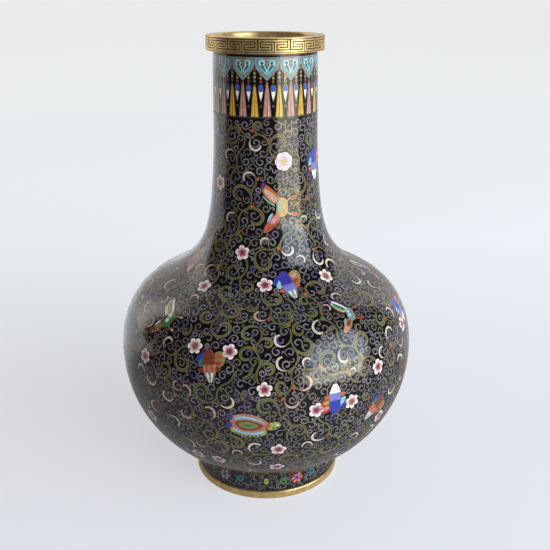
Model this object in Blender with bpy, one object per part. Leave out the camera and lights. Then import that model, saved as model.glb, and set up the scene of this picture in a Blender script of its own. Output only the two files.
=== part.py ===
"""Cloisonne bottle vase, 380 mm tall, in metres with +Z up and the origin under the centre of the foot.

The body is sheet copper in three brazed sections (belly, shoulder, neck) with a brazed-in base plate and
foot ring. Fired enamel covers it outside and, as counter-enamel, inside and underneath. A cast gilt brass
rim sits over the end of the neck, and a gilt brass rim shoes the foot. Plain ring wires bound the fields
of enamel. Every piece is turned about the Z axis.
"""

import math

import bmesh
import bpy

# Driving dimensions, in metres. Points are (radius, height).
SEGMENTS = 40  # flats around the axis, the same on every piece so that gaps stay even
CLEARANCE = 0.0003  # left between pieces that touch on the real vase
ENAMEL = 0.0009
COPPER = 0.0012
LINING = 0.0005
WIRE = 0.0004

HEIGHT = 0.380
FOOT_JOINT = (0.0635, 0.0255)
FOOT_JOINT_RISE = math.radians(27)
EQUATOR = (0.1245, 0.124)
SHOULDER = (0.090, 0.186)  # where the convex belly turns into the concave neck
SHOULDER_RISE = math.radians(27)
NECK_BASE = (0.042, 0.293)
NECK_BASE_LEAN = math.radians(3)
NECK_TOP = (0.0405, 0.369)

# Lengths of the curve handles on each side of those points
JOINT_HANDLE = 0.0293
EQUATOR_HANDLES = (0.0535, 0.0445)
SHOULDER_HANDLES = (0.010, 0.0455)
NECK_HANDLE = 0.070

BORDER_BOTTOM = 0.3231  # the tassel border starts here and runs up to the rim
RIM_RADIUS = 0.0459
RIM_BORE = 0.0376
RIM_REBATE = 0.004  # how far the neck sheet enters the rim
FOOT_RADIUS = 0.0647
FOOT_BORE = 0.0590
FOOT_RIM_HEIGHT = 0.0065
FOOT_REBATE = 0.0028
FOOT_SHEET = 0.0015
FOOT_WAIST = 0.0628  # outer radius of the foot enamel at its top
FOOT_FLARE = 0.0636  # and at its bottom
FLANGE_HEIGHT = 0.0261  # underside of the copper bottom
FLANGE_EDGE = 0.0619  # where the belly sheet folds into its bottom flange
FLANGE_BORE = 0.0595
LINING_CORNER = 0.0599  # where the lining turns from the floor into the wall
EDGE = 0.0005  # chamfer on the cast rims

# Depths below the outer face of the enamel
COPPER_TOP = ENAMEL + CLEARANCE
LINING_TOP = COPPER_TOP + COPPER + CLEARANCE
SEAM = 2 * CLEARANCE  # each sheet stops this far from the middle of a seam

COPPER_RED = (0.72, 0.38, 0.24, 1)
GILT = (0.78, 0.60, 0.27, 1)
BRAZE = (0.75, 0.68, 0.50, 1)
BLACK_GLASS = (0.02, 0.02, 0.03, 1)
TURQUOISE = (0.13, 0.42, 0.46, 1)


def material(name, colour, roughness, metallic):
    made = bpy.data.materials.new(name)
    made.use_nodes = True
    shader = made.node_tree.nodes["Principled BSDF"]
    shader.inputs["Base Color"].default_value = colour
    shader.inputs["Roughness"].default_value = roughness
    shader.inputs["Metallic"].default_value = metallic
    return made


def turn(name, section, finish):
    """Spins a closed section about Z. Points on the axis become one vertex each."""
    mesh = bpy.data.meshes.new(name)
    bm = bmesh.new()
    corners = [bm.verts.new((radius, 0, height)) for radius, height in section]
    edges = [bm.edges.new(pair) for pair in zip(corners, corners[1:] + corners[:1])]
    bmesh.ops.spin(
        bm,
        geom=corners + edges,
        cent=(0, 0, 0),
        axis=(0, 0, 1),
        angle=math.tau,
        steps=SEGMENTS,
        use_merge=True,
    )
    bmesh.ops.remove_doubles(bm, verts=bm.verts, dist=1e-6)
    bmesh.ops.dissolve_degenerate(bm, edges=bm.edges, dist=1e-6)
    bmesh.ops.recalc_face_normals(bm, faces=bm.faces)
    bm.to_mesh(mesh)
    bm.free()
    mesh.shade_smooth()
    mesh.set_sharp_from_angle(angle=math.radians(30))
    mesh.materials.append(finish)
    piece = bpy.data.objects.new(name, mesh)
    bpy.context.scene.collection.objects.link(piece)
    return piece


def bezier(start, start_handle, end_handle, end, steps):
    """Points of a cubic curve, without its last one, so that curves chain."""
    points = []
    for i in range(steps):
        t = i / steps
        weights = ((1 - t) ** 3, 3 * t * (1 - t) ** 2, 3 * t * t * (1 - t), t**3)
        controls = (start, start_handle, end_handle, end)
        points.append(tuple(sum(w * c[k] for w, c in zip(weights, controls)) for k in (0, 1)))
    return points


def ahead(point, angle, distance):
    """The point that lies distance away at angle above the outward horizontal."""
    return (point[0] + distance * math.cos(angle), point[1] + distance * math.sin(angle))


def belly_curve():
    """Outer face of the belly, from the foot joint up to the widest point."""
    below = (EQUATOR[0], EQUATOR[1] - EQUATOR_HANDLES[0])
    leaving = ahead(FOOT_JOINT, FOOT_JOINT_RISE, JOINT_HANDLE)
    return bezier(FOOT_JOINT, leaving, below, EQUATOR, 7) + [EQUATOR]


def shoulder_curve():
    """Outer face from the widest point, over the shoulder, to the base of the neck."""
    inward = math.pi - SHOULDER_RISE
    above = (EQUATOR[0], EQUATOR[1] + EQUATOR_HANDLES[1])
    over = bezier(EQUATOR, above, ahead(SHOULDER, inward, -SHOULDER_HANDLES[0]), SHOULDER, 6)
    leaning = math.pi / 2 + NECK_BASE_LEAN
    leaving = ahead(SHOULDER, inward, SHOULDER_HANDLES[1])
    up = bezier(SHOULDER, leaving, ahead(NECK_BASE, leaning, -NECK_HANDLE), NECK_BASE, 8)
    return over + up + [NECK_BASE]


def neck_radius(height):
    """Outer radius of the straight neck, which tapers slightly upwards."""
    share = (height - NECK_BASE[1]) / (NECK_TOP[1] - NECK_BASE[1])
    return NECK_BASE[0] + share * (NECK_TOP[0] - NECK_BASE[0])


def neck_point(height):
    return (neck_radius(height), height)


def sunk(points, depth):
    """The curve moved inwards by depth, at right angles to itself."""
    moved = []
    for i, (radius, height) in enumerate(points):
        before = points[max(i - 1, 0)]
        after = points[min(i + 1, len(points) - 1)]
        run, rise = after[0] - before[0], after[1] - before[1]
        length = math.hypot(run, rise)
        moved.append((radius - depth * rise / length, height + depth * run / length))
    return moved


def trimmed(points, start, end):
    """The curve with its first and last points moved inwards along it."""

    def along(a, b, distance):
        share = distance / math.dist(a, b)
        return (a[0] + share * (b[0] - a[0]), a[1] + share * (b[1] - a[1]))

    first = along(points[0], points[1], start)
    last = along(points[-1], points[-2], end)
    return [first, *points[1:-1], last]


def layer(points, top, thickness):
    """Closed section of a skin whose outer face lies top below the curve."""
    return sunk(points, top) + sunk(points, top + thickness)[::-1]


def box(inner, outer, bottom, top):
    return [(inner, bottom), (outer, bottom), (outer, top), (inner, top)]


def seam_ring(seam, before, after):
    """Section of the braze in the seam at that point, between its two neighbours on the curve."""
    rise = math.atan2(after[1] - before[1], after[0] - before[0])
    fill = [ahead(seam, rise, side * CLEARANCE) for side in (-1, 1)]
    return layer(fill, COPPER_TOP, COPPER)


def add_copper(copper, braze):
    """The three body sections, base plate and foot ring, and the braze that joins them."""
    belly, shoulder = belly_curve(), shoulder_curve()
    neck = [NECK_BASE, neck_point(NECK_TOP[1] + RIM_REBATE - CLEARANCE)]

    bowl_outer = sunk(trimmed(belly, 0, SEAM), COPPER_TOP)
    bowl_inner = sunk(trimmed(belly, 0, SEAM), COPPER_TOP + COPPER)
    floor = FLANGE_HEIGHT + COPPER
    bowl = [(FLANGE_BORE, FLANGE_HEIGHT), (FLANGE_EDGE, FLANGE_HEIGHT), *bowl_outer]
    bowl += [*bowl_inner[::-1], (FLANGE_EDGE - COPPER / 2, floor), (FLANGE_BORE, floor)]
    turn("belly_shell", bowl, copper)
    turn("shoulder_shell", layer(trimmed(shoulder, SEAM, SEAM), COPPER_TOP, COPPER), copper)
    turn("neck_shell", layer(trimmed(neck, SEAM, 0), COPPER_TOP, COPPER), copper)

    plate_radius = FLANGE_BORE - 2 * SEAM
    plate = [(0, FLANGE_HEIGHT), (plate_radius, FLANGE_HEIGHT), (plate_radius, floor), (0, floor)]
    turn("base_plate", plate, copper)

    foot_top = FLANGE_HEIGHT - 2 * CLEARANCE - WIRE
    foot_outer = [(FOOT_FLARE, FOOT_REBATE + 4 * CLEARANCE), (FOOT_WAIST, foot_top)]
    turn("foot_ring", layer(foot_outer, COPPER_TOP, FOOT_SHEET), copper)

    turn("belly_seam_braze", seam_ring(EQUATOR, belly[-2], shoulder[1]), braze)
    turn("neck_seam_braze", seam_ring(NECK_BASE, shoulder[-2], neck[1]), braze)
    bore = FOOT_WAIST - COPPER_TOP - FOOT_SHEET
    foot_braze = box(bore, bore + FOOT_SHEET, foot_top + CLEARANCE, foot_top + CLEARANCE + WIRE)
    turn("foot_seam_braze", foot_braze, braze)
    filled = (plate_radius + CLEARANCE, FLANGE_BORE - CLEARANCE)
    turn("base_seam_braze", box(*filled, FLANGE_HEIGHT, floor), braze)


def add_enamel(black, turquoise):
    """Outer enamel in its three fields, and the counter-enamel inside and underneath."""
    field_top = BORDER_BOTTOM - CLEARANCE
    body = belly_curve()[:-1] + shoulder_curve() + [neck_point(field_top)]
    turn("field_enamel", layer(body, 0, ENAMEL), black)

    border_ends = (BORDER_BOTTOM + WIRE + CLEARANCE, NECK_TOP[1] - WIRE - 2 * CLEARANCE - ENAMEL / 2)
    turn("border_enamel", layer([neck_point(h) for h in border_ends], 0, ENAMEL), black)

    foot_ends = (FOOT_RIM_HEIGHT + 2 * CLEARANCE + WIRE, FOOT_JOINT[1] - 2 * CLEARANCE - WIRE)
    foot = [(FOOT_FLARE, foot_ends[0]), (FOOT_WAIST, foot_ends[1])]
    turn("foot_enamel", layer(foot, 0, ENAMEL), black)

    neck_end = neck_point(NECK_TOP[1] + RIM_REBATE - CLEARANCE)
    inside = belly_curve()[:-1] + shoulder_curve() + [neck_end]
    wall = sunk(inside, LINING_TOP)
    face = sunk(inside, LINING_TOP + LINING)
    under = FLANGE_HEIGHT + COPPER + CLEARANCE
    cup = [(0, under), (LINING_CORNER, under), *wall, *face[::-1]]
    cup += [(LINING_CORNER - LINING, under + LINING), (0, under + LINING)]
    turn("lining_enamel", cup, turquoise)

    top = FLANGE_HEIGHT - CLEARANCE
    disc_radius = FLANGE_BORE - 5 * CLEARANCE
    disc = [(0, top - ENAMEL), (disc_radius, top - ENAMEL), (disc_radius, top), (0, top)]
    turn("base_enamel", disc, turquoise)


def add_rims(gilt):
    """The two cast brass rims. Each has a rebate that takes the edge of the copper."""
    bottom, rebate_top = NECK_TOP[1], NECK_TOP[1] + RIM_REBATE
    seat = NECK_TOP[0] - ENAMEL + CLEARANCE / 3
    lip = RIM_BORE + 2 * EDGE
    rim = [(RIM_BORE, rebate_top), (seat, rebate_top), (seat, bottom), (RIM_RADIUS - EDGE, bottom)]
    rim += [(RIM_RADIUS, bottom + EDGE), (RIM_RADIUS, HEIGHT - EDGE), (RIM_RADIUS - EDGE, HEIGHT)]
    rim += [(lip, HEIGHT), (RIM_BORE, HEIGHT - 2 * EDGE)]
    turn("mouth_rim", rim, gilt)

    fence = FOOT_FLARE - ENAMEL + CLEARANCE / 3
    shoe = [(FOOT_BORE, 0), (FOOT_RADIUS - EDGE, 0), (FOOT_RADIUS, EDGE)]
    shoe += [(FOOT_RADIUS, FOOT_RIM_HEIGHT - EDGE), (FOOT_RADIUS - EDGE, FOOT_RIM_HEIGHT)]
    shoe += [(fence, FOOT_RIM_HEIGHT), (fence, FOOT_REBATE), (FOOT_BORE, FOOT_REBATE)]
    turn("foot_rim", shoe, gilt)


def add_wires(gilt):
    """Plain ring wires, standing just proud of the enamel, at the ends of each field."""
    proud = CLEARANCE / 2

    def ring(name, radius, bottom):
        turn(name, box(radius - ENAMEL, radius + proud, bottom, bottom + WIRE), gilt)

    ring("border_top_wire", NECK_TOP[0], NECK_TOP[1] - CLEARANCE - WIRE)
    ring("border_bottom_wire", neck_radius(BORDER_BOTTOM), BORDER_BOTTOM)
    ring("foot_top_wire", FOOT_WAIST, FOOT_JOINT[1] - CLEARANCE - WIRE)
    ring("foot_bottom_wire", FOOT_FLARE, FOOT_RIM_HEIGHT + CLEARANCE)


def build():
    for old in list(bpy.data.objects):
        bpy.data.objects.remove(old)
    gilt = material("gilt_brass", GILT, 0.25, 1.0)
    add_copper(material("copper", COPPER_RED, 0.35, 1.0), material("braze", BRAZE, 0.4, 1.0))
    black = material("black_enamel", BLACK_GLASS, 0.1, 0.0)
    add_enamel(black, material("counter_enamel", TURQUOISE, 0.15, 0.0))
    add_rims(gilt)
    add_wires(gilt)


build()
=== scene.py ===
"""Looks of the cloisonne bottle vase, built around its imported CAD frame.

The enamel grounds are turned from the CAD's own outline. The decoration is real geometry: each cloison is a
flat-topped cell of coloured enamel inside its own gilt wire. Cells are drawn flat in millimetres, u to the
right and v up, and stamped onto a chart of the turned surface, whose two coordinates are the angle from the
front (-Y, growing towards +X) and the distance along the outline.
"""

import math
import random
from itertools import product

import bmesh
import bpy
import numpy as np
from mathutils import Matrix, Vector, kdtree


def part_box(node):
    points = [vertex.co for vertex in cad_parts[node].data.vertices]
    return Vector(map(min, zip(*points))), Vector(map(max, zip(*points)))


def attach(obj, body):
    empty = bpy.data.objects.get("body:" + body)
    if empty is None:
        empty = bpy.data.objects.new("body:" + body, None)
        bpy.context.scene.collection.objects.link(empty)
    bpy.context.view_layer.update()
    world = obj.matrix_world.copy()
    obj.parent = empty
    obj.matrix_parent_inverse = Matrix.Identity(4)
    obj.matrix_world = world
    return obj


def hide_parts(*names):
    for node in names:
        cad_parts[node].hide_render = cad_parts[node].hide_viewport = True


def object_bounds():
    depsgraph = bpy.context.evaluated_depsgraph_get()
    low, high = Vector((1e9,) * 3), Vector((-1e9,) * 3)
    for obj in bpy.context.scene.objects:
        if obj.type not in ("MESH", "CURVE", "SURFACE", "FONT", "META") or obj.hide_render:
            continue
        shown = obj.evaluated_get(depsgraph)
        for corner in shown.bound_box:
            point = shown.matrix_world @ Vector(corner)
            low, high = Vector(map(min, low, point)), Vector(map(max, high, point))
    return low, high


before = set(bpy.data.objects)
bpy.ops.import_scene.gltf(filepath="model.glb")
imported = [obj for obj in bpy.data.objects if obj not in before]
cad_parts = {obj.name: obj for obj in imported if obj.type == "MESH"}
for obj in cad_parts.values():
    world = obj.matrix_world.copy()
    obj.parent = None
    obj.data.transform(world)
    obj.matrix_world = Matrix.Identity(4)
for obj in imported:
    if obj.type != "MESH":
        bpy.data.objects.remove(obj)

CAD_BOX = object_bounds()
MM = 0.001
TAU = math.tau

# Lifts above the CAD's outer skin, in mm. Nothing rises above the skin itself.
WIRE_TOP = 0.0
CELL_TOP = -0.026
LEVEL = 0.005  # a cell that lies inside another one is this much higher
SCROLL_TOP = -0.034  # the small scrolls pass under everything else
GROUND = -0.042
GROUND_BACK = -0.88
KEEL = -0.3  # every cell and wire is rooted this deep

WIRE_WIDTH = 0.2
SLIM = 0.03  # the least half width of a cell
WIDE = 0.45  # a band of at least this half width has a line along its middle
FINE = 0.9  # longest straight step of a cell's edge, so that it follows the round surface
SEGMENTS = 440  # around the turned pieces


# ---------------------------------------------------------------- charts


def cubic_through(points, count):
    """count points along the natural cubic spline through the given ones."""
    points = np.array(points, float)
    knots = np.concatenate([[0], np.cumsum(np.hypot(*np.diff(points, axis=0).T))])
    gaps = np.diff(knots)
    n = len(points)
    system = np.eye(n)
    pulls = np.zeros((n, 2))
    for i in range(1, n - 1):
        system[i, i - 1 : i + 2] = gaps[i - 1], 2 * (gaps[i - 1] + gaps[i]), gaps[i]
        rise = (points[i + 1] - points[i]) / gaps[i] - (points[i] - points[i - 1]) / gaps[i - 1]
        pulls[i] = 6 * rise
    bends = np.linalg.solve(system, pulls)
    at = np.linspace(0, knots[-1], count)
    k = np.clip(np.searchsorted(knots, at) - 1, 0, n - 2)
    gap = gaps[k][:, None]
    a = (knots[k + 1] - at)[:, None] / gap
    b = 1 - a
    cubic = ((a**3 - a) * bends[k] + (b**3 - b) * bends[k + 1]) * gap**2 / 6
    return a * points[k] + b * points[k + 1] + cubic


def outer_stations(node, skin=1.5):
    """Radius and height, in mm and from the bottom up, of a turned CAD node's outer skin."""
    corners = {
        (round(v.co.x / MM, 3), round(v.co.z / MM, 3))
        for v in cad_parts[node].data.vertices
        if abs(v.co.y) < 1e-6 and v.co.x > 0
    }
    middle = (0.0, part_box("belly_shell")[1].z / MM)

    def is_inner(p):
        near = [q for q in corners if q != p and math.dist(p, q) < skin]
        return any(math.dist(q, middle) > math.dist(p, middle) for q in near)

    return sorted((p for p in corners if not is_inner(p)), key=lambda p: p[1])


def inner_radius(node):
    """The bore of a turned CAD node, in mm."""
    return min(math.hypot(v.co.x, v.co.y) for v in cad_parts[node].data.vertices) / MM


class Chart:
    """A turned surface, from its outline as (radius, height) points in mm, bottom up."""

    def __init__(self, outline):
        self.outline = np.array(outline, float)
        steps = np.hypot(*np.diff(self.outline, axis=0).T)
        self.along = np.concatenate([[0], np.cumsum(steps)])
        slope = np.gradient(self.outline, self.along, axis=0)
        slope /= np.linalg.norm(slope, axis=1)[:, None]
        self.normal = np.stack([slope[:, 1], -slope[:, 0]], -1)
        self.length = self.along[-1]

    def radius(self, s):
        return np.interp(s, self.along, self.outline[:, 0])

    def at_height(self, height):
        return float(np.interp(height, self.outline[:, 1], self.along))

    def section(self, low, high, lift, count):
        """Points of the outline between two distances, raised by lift."""
        s = np.linspace(low, high, count)
        point = [np.interp(s, self.along, self.outline[:, k]) for k in (0, 1)]
        normal = [np.interp(s, self.along, self.normal[:, k]) for k in (0, 1)]
        return [(p + lift * n) for p, n in zip(np.stack(point, -1), np.stack(normal, -1))]

    def place(self, points):
        """(angle, distance, lift) rows as positions in metres."""
        angle, s, lift = np.asarray(points, float).T
        out = self.radius(s) + lift * np.interp(s, self.along, self.normal[:, 0])
        up = np.interp(s, self.along, self.outline[:, 1])
        up = up + lift * np.interp(s, self.along, self.normal[:, 1])
        return np.stack([out * np.sin(angle), -out * np.cos(angle), up], -1) * MM


# ---------------------------------------------------------------- meshes


class Mesh:
    """Points with a tone each, quads and triangles, gathered bit by bit."""

    def __init__(self):
        self.parts = []
        self.size = 0

    def add(self, points, tones, quads, triangles):
        quads = np.asarray(quads, np.int64).reshape(-1, 4) + self.size
        triangles = np.asarray(triangles, np.int64).reshape(-1, 3) + self.size
        self.parts.append((points, np.broadcast_to(tones, len(points)), quads, triangles))
        self.size += len(points)

    def joined(self):
        points, tones, quads, triangles = zip(*self.parts)
        return [np.concatenate(part) for part in (points, tones, quads, triangles)]


def sides(path, half, closed=False, stretch=1.0):
    """The two edges of a band along a path. stretch is mm per unit of the first coordinate."""
    scale = np.stack([np.broadcast_to(stretch, len(path)), np.ones(len(path))], -1)
    if closed:
        step = (np.roll(path, -1, 0) - path) * scale
        step /= np.linalg.norm(step, axis=1)[:, None]
        before, after = np.roll(step, 1, 0), step
    else:
        step = np.diff(path, axis=0) * (scale[1:] + scale[:-1]) / 2
        step /= np.linalg.norm(step, axis=1)[:, None]
        before, after = np.vstack([step[:1], step]), np.vstack([step, step[-1:]])
    mean = before + after
    mean /= np.maximum(np.linalg.norm(mean, axis=1), 1e-9)[:, None]
    mitre = 1 / np.maximum((mean * after).sum(1), 0.5)
    offset = np.stack([-mean[:, 1], mean[:, 0]], -1) * (mitre * half)[:, None] / scale
    return path + offset, path - offset


def lifted(points, lift):
    return np.column_stack([points, np.full(len(points), lift)])


def strips(n, rows, closed=True):
    """Quads from each row of n points to the next row listed. Closed rows go on to their first point."""
    i = np.arange(n if closed else n - 1)
    j = (i + 1) % n
    return [np.stack([a * n + i, a * n + j, b * n + j, b * n + i], -1) for a, b in zip(rows, rows[1:])]


def ribbon(mesh, path, half, top, tone=1.0, closed=False, stretch=1.0, rim=None):
    """A watertight band with a keel under its middle. Its edges take the tone rim, if that is given."""
    path = np.asarray(path, float)
    n = len(path)
    half = np.broadcast_to(half, n)
    left, right = sides(path, half, closed, stretch)
    rim = tone if rim is None else rim
    rows = [(left, top, rim), (path, top, tone), (right, top, rim), (path, KEEL, tone)]
    if half.max() < WIDE:
        rows.pop(1)
    points = np.vstack([lifted(row, lift) for row, lift, _ in rows])
    tones = np.concatenate([np.broadcast_to(shade, n) for _, _, shade in rows])
    keel = len(rows) - 1
    last = n - 1
    caps = [(a * n, keel * n, (a + 1) * n) for a in range(keel - 1)]
    caps += [((a + 1) * n + last, keel * n + last, a * n + last) for a in range(keel - 1)]
    mesh.add(points, tones, strips(n, [0, keel, *range(keel - 1, -1, -1)], closed), [] if closed else caps)


def dense(line, closed=True):
    """The same line with points added so that no step is longer than FINE."""
    line = np.asarray(line, float)
    ends = np.roll(line, -1, 0) if closed else line[1:]
    points = []
    for a, b in zip(line, ends):
        steps = max(1, math.ceil(np.hypot(*(b - a)) / FINE))
        points += [a + (b - a) * k / steps for k in range(steps)]
    return np.array(points if closed else [*points, line[-1]])


def bar(mesh, path, half, top, floor, spread, tones):
    """A raised bar round a closed path, wider at its floor by spread on each side."""
    n = len(path)
    left, right = sides(path, np.full(n, half), True)
    far_left, far_right = sides(path, np.full(n, half + spread), True)
    rings = [lifted(left, top), lifted(far_left, floor), lifted(far_right, floor), lifted(right, top)]
    shades = np.repeat([tones[0], tones[1], tones[1], tones[0]], n)
    mesh.add(np.vstack(rings), shades, strips(n, [0, 1, 2, 3, 0]), [])


def tile(mesh, loop, top, rings=1, centre=None, tones=(1.0, 1.0)):
    """A flat-topped tile inside a loop that its centre can see all of. tones are at its centre and rim."""
    loop = np.asarray(loop, float)
    nxt = np.roll(loop, -1, 0)
    if (loop[:, 0] * nxt[:, 1] - nxt[:, 0] * loop[:, 1]).sum() < 0:
        loop = loop[::-1]
    centre = loop.mean(0) if centre is None else np.asarray(centre, float)
    n = len(loop)
    rings = max(rings, math.ceil(np.hypot(*(loop - centre).T).max() / FINE / 1.3))
    shares = [(rings - k) / rings for k in range(rings)]
    points = [lifted(centre + (loop - centre) * share, top) for share in shares]
    shade = [np.full(n, tones[0] + (tones[1] - tones[0]) * share) for share in shares]
    i = np.arange(n)
    j = (i + 1) % n
    last = (rings - 1) * n
    hub = np.full(n, rings * n)
    mesh.add(
        np.vstack([*points, [(*centre, top)], [(*centre, KEEL)]]),
        np.concatenate([*shade, [tones[0], tones[0]]]),
        strips(n, range(rings)),
        [np.stack([last + i, last + j, hub], -1), np.stack([j, i, hub + 1], -1)],
    )


class Stencil:
    """A motif drawn flat in mm. Each layer is one colour of enamel, or the wire."""

    def __init__(self):
        self.layers = {}
        self.flat = None

    def layer(self, name):
        return self.layers.setdefault(name, Mesh())

    def wire(self, path, closed=False, width=WIRE_WIDTH):
        ribbon(self.layer("wire"), dense(path, closed), width / 2, WIRE_TOP, closed=closed)

    def stroke(self, path, half, colour, tone=1.0, level=0, width=WIRE_WIDTH):
        """A cell that follows a path, in its own wire."""
        path = np.asarray(path, float)
        half = np.broadcast_to(half, len(path))
        ribbon(self.layer(colour), path, np.maximum(half - width / 3, SLIM), CELL_TOP + level * LEVEL, tone)
        left, right = sides(path, half)
        ribbon(self.layer("wire"), np.vstack([left, right[::-1]]), width / 2, WIRE_TOP, closed=True)

    def cell(self, loop, colour, level=0, rings=1, centre=None, tones=(1.0, 1.0), width=WIRE_WIDTH):
        """A cell inside a loop, in its own wire."""
        loop = dense(loop)
        tile(self.layer(colour), loop, CELL_TOP + level * LEVEL, rings, centre, tones)
        ribbon(self.layer("wire"), loop, width / 2, WIRE_TOP, closed=True)

    def patch(self, corners, colour, level=0, passes=2, **more):
        """A cell with rounded corners."""
        self.cell(rounded(corners, passes), colour, level, **more)

    def dot(self, x, y, colour, size=1.5, level=1, count=10, width=0.18):
        """A round cell in a finer wire."""
        self.cell(oval(size, size, (x, y), count=count), colour, level, width=width)

    def ready(self):
        if self.flat is None:
            self.flat = {name: mesh.joined() for name, mesh in self.layers.items()}
        return self.flat

class Field:
    """A chart with the layers of cells that are stamped on it."""

    def __init__(self, chart):
        self.chart = chart
        self.layers = {}
        self.marks = []
        self.blooms = []

    def layer(self, name):
        return self.layers.setdefault(name, Mesh())

    def stamp(self, stencil, angle, s, turn=0.0, size=1.0, flip=False, tone=None, palette=None, part=""):
        """Lays a stencil down with its origin at (angle, s), turned anticlockwise."""
        c, d = math.cos(turn) * size, math.sin(turn) * size
        for name, (points, tones, quads, triangles) in stencil.ready().items():
            u, v, lift = points.T
            if flip:
                u, quads, triangles = -u, quads[:, ::-1], triangles[:, ::-1]
            across, up = c * u - d * v, d * u + c * v
            here = s + up
            laid = np.stack([angle + across / self.chart.radius(here), here, lift], -1)
            shade = tones if tone is None or name == "wire" else tone
            name = (palette or {}).get(name, name)
            self.layer(name + part).add(laid, shade, quads, triangles)
            if not part:
                self.marks.append(laid[lift > KEEL / 2])

    def vine(self, path, half, colour, tone):
        """A cell along a path given in chart coordinates."""
        stretch = self.chart.radius(path[:, 1])
        fill = np.maximum(half - WIRE_WIDTH / 3, SLIM)
        ribbon(self.layer(colour), path, fill, CELL_TOP, tone, stretch=stretch, rim=tone + RIM_GLOW)
        left, right = sides(path, half, stretch=stretch)
        outline = np.vstack([left, right[::-1]])
        around = self.chart.radius(outline[:, 1])
        ribbon(self.layer("vine_wire"), outline, WIRE_WIDTH / 2, WIRE_TOP, closed=True, stretch=around)
        self.marks.append(lifted(np.vstack([left, right]), 0))


# ---------------------------------------------------------------- materials


def linear(colour):
    """A colour given as 0 to 255 display values, as the renderer's linear values."""
    share = [c / 255 for c in colour]
    return tuple(c / 12.92 if c <= 0.04045 else ((c + 0.055) / 1.055) ** 2.4 for c in share) + (1.0,)


class Nodes:
    """Builds a node tree. A value that goes in is a number, a colour or another node's output."""

    def __init__(self, tree):
        self.tree = tree

    def put(self, value, socket):
        if isinstance(value, bpy.types.NodeSocket):
            self.tree.links.new(value, socket)
        else:
            socket.default_value = value

    def add(self, kind, values=None, **settings):
        """A node with its settings, and with values for its inputs by name or number."""
        node = self.tree.nodes.new(kind)
        for key, value in settings.items():
            setattr(node, key, value)
        for socket, value in (values or {}).items():
            self.put(value, node.inputs[socket])
        return node

    def mapped(self, source, low, high, start=0.3, end=0.7, **settings):
        """The source scaled so that start to end becomes low to high, and held beyond them."""
        values = {"Value": source, "From Min": start, "From Max": end, "To Min": low, "To Max": high}
        return self.add("ShaderNodeMapRange", values, **settings).outputs["Result"]

    def calculated(self, operation, *values):
        return self.add("ShaderNodeMath", dict(enumerate(values)), operation=operation).outputs[0]

    def mixed(self, share, first, second, kind="RGBA"):
        """first where share is 0, second where it is 1."""
        values = {"Factor": share, "A": first, "B": second}
        return self.add("ShaderNodeMix", values, data_type=kind).outputs["Result"]


class Paint(Nodes):
    """A new material's node tree, about its shader."""

    def __init__(self, name):
        self.material = bpy.data.materials.new(name)
        self.material.use_nodes = True
        super().__init__(self.material.node_tree)
        self.shader = self.tree.nodes["Principled BSDF"]
        self.spot = self.add("ShaderNodeTexCoord").outputs["Object"]

    def feed(self, name, source):
        self.put(source, self.shader.inputs[name])

    def noise(self, size_mm, detail=3.0):
        values = {"Vector": self.spot, "Scale": 1 / (size_mm * MM), "Detail": detail}
        return self.add("ShaderNodeTexNoise", values).outputs["Fac"]

    def tone(self):
        return self.add("ShaderNodeAttribute", attribute_name="tone").outputs["Fac"]

    def plain(self, colour):
        node = self.add("ShaderNodeRGB")
        node.outputs[0].default_value = linear(colour)
        return node.outputs[0]

    def ramp(self, source, stops):
        """A colour ramp; stops are (place, colour) with display colours."""
        node = self.add("ShaderNodeValToRGB", {"Fac": source})
        band = node.color_ramp
        for place, colour in stops[1:-1]:
            band.elements.new(place)
        for element, (place, colour) in zip(band.elements, stops):
            element.position = place
            element.color = linear(colour)
        return node.outputs["Color"]

    def blotched(self, noise, deep, bright):
        return self.ramp(self.mapped(noise, 0.0, 1.0), [(0.0, deep), (1.0, bright)])

    def valued(self, colour, value):
        """The colour made darker or lighter by value."""
        return self.add("ShaderNodeHueSaturation", {"Color": colour, "Value": value}).outputs["Color"]

    def bump(self, source, depth_mm):
        node = self.add("ShaderNodeBump", {"Distance": depth_mm * MM, "Height": source})
        self.feed("Normal", node.outputs["Normal"])


def enamel(name, shades, pits=0.5):
    """Polished vitreous enamel: grainy colour, dark pits, and a surface that is a little wavy.

    shades is one colour, or the stops of a ramp along the tone. pits is how dark the pits are, from 0 to 1.
    """
    made = Paint(name)
    colour = made.plain(shades) if isinstance(shades, tuple) else made.ramp(made.tone(), shades)
    colour = made.valued(colour, made.mapped(made.noise(1.6, 4.0), 0.72, 1.25))
    specks = made.mapped(made.noise(0.35, 2.0), 0.0, pits, 0.66, 0.74)
    made.feed("Base Color", made.mixed(specks, colour, linear((58, 50, 42))))
    made.feed("Roughness", made.mapped(made.noise(6.0, 5.0), 0.07, 0.15))
    made.feed("IOR", 1.52)
    made.bump(made.noise(2.5, 3.0), 0.006)
    return made.material


def gilt(name, bright=(246, 214, 152), deep=(214, 174, 106), rough=(0.3, 0.44), metal=0.8):
    """Fire-gilt brass: a rubbed, uneven gold, turned dark brown where the tone is low, as painted shade."""
    made = Paint(name)
    gold = made.blotched(made.noise(5.0, 6.0), deep, bright)
    # painted shade: the tone is low in the rim's groove, at the fret's root, under the rim and inside the foot
    # ring
    recess_shade = made.mapped(made.tone(), 1.0, 0.0, 0.2, 0.7)
    made.feed("Base Color", made.mixed(recess_shade, gold, linear((58, 40, 18))))
    made.feed("Metallic", metal)
    made.feed("Roughness", made.mapped(made.noise(1.2, 4.0), *rough))
    made.bump(made.noise(0.6, 3.0), 0.01)
    return made.material


def copper(name, bright, deep):
    """Bare sheet or braze, dull and blotched from the kiln."""
    made = Paint(name)
    made.feed("Base Color", made.blotched(made.noise(8.0, 5.0), deep, bright))
    made.feed("Metallic", 1.0)
    made.feed("Roughness", made.mapped(made.noise(3.0, 4.0), 0.35, 0.55))
    made.bump(made.noise(1.0, 3.0), 0.02)
    return made.material


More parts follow.
